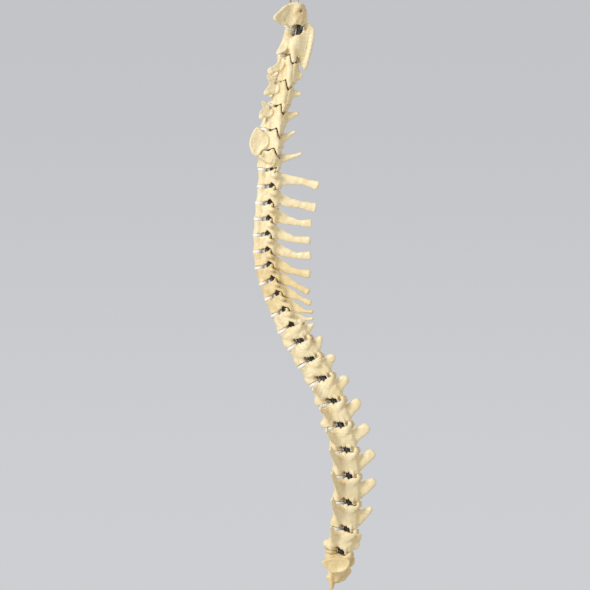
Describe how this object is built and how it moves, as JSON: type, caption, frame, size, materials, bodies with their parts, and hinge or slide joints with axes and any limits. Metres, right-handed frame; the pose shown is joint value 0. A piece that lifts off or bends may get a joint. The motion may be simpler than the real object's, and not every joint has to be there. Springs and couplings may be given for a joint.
{
  "type": "canine vertebral column model",
  "caption": "Hanging teaching model of a dog's vertebral column: separate bones with white spacer discs, threaded on a flexible core below a wire loop.",
  "frame": {"origin": "inside top of the hanging loop, where it bears on a hook", "axes": "+X dorsal, towards the spines; +Y the animal's right; +Z cranial, up"},
  "size_m": [0.128, 0.0676, 0.6175],
  "materials": {
    "bone": "satin ivory with ochre in the recesses",
    "foam": "matte white foam",
    "core": "dark grey, slightly shiny",
    "brass": "dull brass wire"
  },
  "bodies": {
    "atlas": {"atlas_c1": "bone", "atlas_axis_pad": "foam", "core_rod": "core", "hanging_loop": "brass", "loop_ferrule": "brass"},
    "axis": {"axis_c2": "bone", "disc_below_axis_c2": "foam"},
    "cervical_3": {"cervical_3": "bone", "disc_below_cervical_3": "foam"},
    "cervical_4": {"cervical_4": "bone", "disc_below_cervical_4": "foam"},
    "cervical_5": {"cervical_5": "bone", "disc_below_cervical_5": "foam"},
    "cervical_6": {"cervical_6": "bone", "disc_below_cervical_6": "foam"},
    "cervical_7": {"cervical_7": "bone", "disc_below_cervical_7": "foam"},
    "thoracic_1": {"thoracic_1": "bone", "disc_below_thoracic_1": "foam"},
    "thoracic_2": {"thoracic_2": "bone", "disc_below_thoracic_2": "foam"},
    "thoracic_3": {"thoracic_3": "bone", "disc_below_thoracic_3": "foam"},
    "thoracic_4": {"thoracic_4": "bone", "disc_below_thoracic_4": "foam"},
    "thoracic_5": {"thoracic_5": "bone", "disc_below_thoracic_5": "foam"},
    "thoracic_6": {"thoracic_6": "bone", "disc_below_thoracic_6": "foam"},
    "thoracic_7": {"thoracic_7": "bone", "disc_below_thoracic_7": "foam"},
    "thoracic_8": {"thoracic_8": "bone", "disc_below_thoracic_8": "foam"},
    "thoracic_9": {"thoracic_9": "bone", "disc_below_thoracic_9": "foam"},
    "thoracic_10": {"thoracic_10": "bone", "disc_below_thoracic_10": "foam"},
    "thoracic_11": {"thoracic_11": "bone", "disc_below_thoracic_11": "foam"},
    "thoracic_12": {"thoracic_12": "bone", "disc_below_thoracic_12": "foam"},
    "thoracic_13": {"thoracic_13": "bone", "disc_below_thoracic_13": "foam"},
    "lumbar_1": {"lumbar_1": "bone", "disc_below_lumbar_1": "foam"},
    "lumbar_2": {"lumbar_2": "bone", "disc_below_lumbar_2": "foam"},
    "lumbar_3": {"lumbar_3": "bone", "disc_below_lumbar_3": "foam"},
    "lumbar_4": {"lumbar_4": "bone", "disc_below_lumbar_4": "foam"},
    "lumbar_5": {"lumbar_5": "bone", "disc_below_lumbar_5": "foam"},
    "lumbar_6": {"lumbar_6": "bone", "disc_below_lumbar_6": "foam"},
    "lumbar_7": {"lumbar_7": "bone", "disc_below_lumbar_7": "foam"},
    "sacrum": {"sacrum": "bone", "end_ferrule": "brass"}
  },
  "joints": [
    {"name": "axis_turn", "type": "hinge", "parent": "atlas", "child": "axis", "pos_m": [-0.00158, 0, -0.04019], "axis": [0.2756, 0, 0.9613], "range_deg": [-8, 8], "stiffness_Nm_per_rad": 10},
    {"name": "cervical_3_bend", "type": "hinge", "parent": "axis", "child": "cervical_3", "pos_m": [-0.01167, 0, -0.06487], "axis": [0, 1, 0], "range_deg": [-3.5, 3.5], "stiffness_Nm_per_rad": 20, "deforming": ["core_rod"]},
    {"name": "cervical_4_bend", "type": "hinge", "parent": "cervical_3", "child": "cervical_4", "pos_m": [-0.01682, 0, -0.09137], "axis": [0, 1, 0], "range_deg": [-3.5, 3.5], "stiffness_Nm_per_rad": 20},
    {"name": "cervical_5_bend", "type": "hinge", "parent": "cervical_4", "child": "cervical_5", "pos_m": [-0.02299, 0, -0.11611], "axis": [0, 1, 0], "range_deg": [-3.5, 3.5], "stiffness_Nm_per_rad": 20},
    {"name": "cervical_6_bend", "type": "hinge", "parent": "cervical_5", "child": "cervical_6", "pos_m": [-0.02894, 0, -0.14091], "axis": [0, 1, 0], "range_deg": [-3.5, 3.5], "stiffness_Nm_per_rad": 20},
    {"name": "cervical_7_bend", "type": "hinge", "parent": "cervical_6", "child": "cervical_7", "pos_m": [-0.03119, 0, -0.16229], "axis": [0, 1, 0], "range_deg": [-3.5, 3.5], "stiffness_Nm_per_rad": 20},
    {"name": "thoracic_1_bend", "type": "hinge", "parent": "cervical_7", "child": "thoracic_1", "pos_m": [-0.03221, 0, -0.18177], "axis": [0, 1, 0], "range_deg": [-2, 2], "stiffness_Nm_per_rad": 20},
    {"name": "thoracic_2_bend", "type": "hinge", "parent": "thoracic_1", "child": "thoracic_2", "pos_m": [-0.03313, 0, -0.19924], "axis": [0, 1, 0], "range_deg": [-2, 2], "stiffness_Nm_per_rad": 20},
    {"name": "thoracic_3_bend", "type": "hinge", "parent": "thoracic_2", "child": "thoracic_3", "pos_m": [-0.03505, 0, -0.21613], "axis": [0, 1, 0], "range_deg": [-2, 2], "stiffness_Nm_per_rad": 20},
    {"name": "thoracic_4_bend", "type": "hinge", "parent": "thoracic_3", "child": "thoracic_4", "pos_m": [-0.03649, 0, -0.23257], "axis": [0, 1, 0], "range_deg": [-2, 2], "stiffness_Nm_per_rad": 20},
    {"name": "thoracic_5_bend", "type": "hinge", "parent": "thoracic_4", "child": "thoracic_5", "pos_m": [-0.0375, 0, -0.24904], "axis": [0, 1, 0], "range_deg": [-2, 2], "stiffness_Nm_per_rad": 20},
    {"name": "thoracic_6_bend", "type": "hinge", "parent": "thoracic_5", "child": "thoracic_6", "pos_m": [-0.03735, 0, -0.26604], "axis": [0, 1, 0], "range_deg": [-1.5, 2], "stiffness_Nm_per_rad": 20},
    {"name": "thoracic_7_bend", "type": "hinge", "parent": "thoracic_6", "child": "thoracic_7", "pos_m": [-0.03548, 0, -0.28243], "axis": [0, 1, 0], "range_deg": [-0.5, 2], "stiffness_Nm_per_rad": 20},
    {"name": "thoracic_8_bend", "type": "hinge", "parent": "thoracic_7", "child": "thoracic_8", "pos_m": [-0.03121, 0, -0.29837], "axis": [0, 1, 0], "range_deg": [-1, 2], "stiffness_Nm_per_rad": 20},
    {"name": "thoracic_9_bend", "type": "hinge", "parent": "thoracic_8", "child": "thoracic_9", "pos_m": [-0.02557, 0, -0.31387], "axis": [0, 1, 0], "range_deg": [-1, 2], "stiffness_Nm_per_rad": 20},
    {"name": "thoracic_10_bend", "type": "hinge", "parent": "thoracic_9", "child": "thoracic_10", "pos_m": [-0.01868, 0, -0.3305], "axis": [0, 1, 0], "range_deg": [-1.5, 2], "stiffness_Nm_per_rad": 20},
    {"name": "thoracic_11_bend", "type": "hinge", "parent": "thoracic_10", "child": "thoracic_11", "pos_m": [-0.01086, 0, -0.34727], "axis": [0, 1, 0], "range_deg": [-3, 3], "stiffness_Nm_per_rad": 20},
    {"name": "thoracic_12_bend", "type": "hinge", "parent": "thoracic_11", "child": "thoracic_12", "pos_m": [-0.00096, 0, -0.36407], "axis": [0, 1, 0], "range_deg": [-3, 3], "stiffness_Nm_per_rad": 20},
    {"name": "thoracic_13_bend", "type": "hinge", "parent": "thoracic_12", "child": "thoracic_13", "pos_m": [0.01011, 0, -0.3825], "axis": [0, 1, 0], "range_deg": [-3, 3], "stiffness_Nm_per_rad": 20},
    {"name": "lumbar_1_bend", "type": "hinge", "parent": "thoracic_13", "child": "lumbar_1", "pos_m": [0.0222, 0, -0.40148], "axis": [0, 1, 0], "range_deg": [-3, 3], "stiffness_Nm_per_rad": 20},
    {"name": "lumbar_2_bend", "type": "hinge", "parent": "lumbar_1", "child": "lumbar_2", "pos_m": [0.03215, 0, -0.42332], "axis": [0, 1, 0], "range_deg": [-3, 3], "stiffness_Nm_per_rad": 20},
    {"name": "lumbar_3_bend", "type": "hinge", "parent": "lumbar_2", "child": "lumbar_3", "pos_m": [0.03891, 0, -0.44687], "axis": [0, 1, 0], "range_deg": [-3, 3], "stiffness_Nm_per_rad": 20},
    {"name": "lumbar_4_bend", "type": "hinge", "parent": "lumbar_3", "child": "lumbar_4", "pos_m": [0.04486, 0, -0.47166], "axis": [0, 1, 0], "range_deg": [-3, 3], "stiffness_Nm_per_rad": 20},
    {"name": "lumbar_5_bend", "type": "hinge", "parent": "lumbar_4", "child": "lumbar_5", "pos_m": [0.04704, 0, -0.49657], "axis": [0, 1, 0], "range_deg": [-3, 3], "stiffness_Nm_per_rad": 20},
    {"name": "lumbar_6_bend", "type": "hinge", "parent": "lumbar_5", "child": "lumbar_6", "pos_m": [0.04658, 0, -0.52306], "axis": [0, 1, 0], "range_deg": [-3, 3], "stiffness_Nm_per_rad": 20},
    {"name": "lumbar_7_bend", "type": "hinge", "parent": "lumbar_6", "child": "lumbar_7", "pos_m": [0.04427, 0, -0.54946], "axis": [0, 1, 0], "range_deg": [-3, 3], "stiffness_Nm_per_rad": 20},
    {"name": "sacrum_bend", "type": "hinge", "parent": "lumbar_7", "child": "sacrum", "pos_m": [0.03866, 0, -0.5728], "axis": [0, 1, 0], "range_deg": [-3, 3], "stiffness_Nm_per_rad": 20}
  ]
}
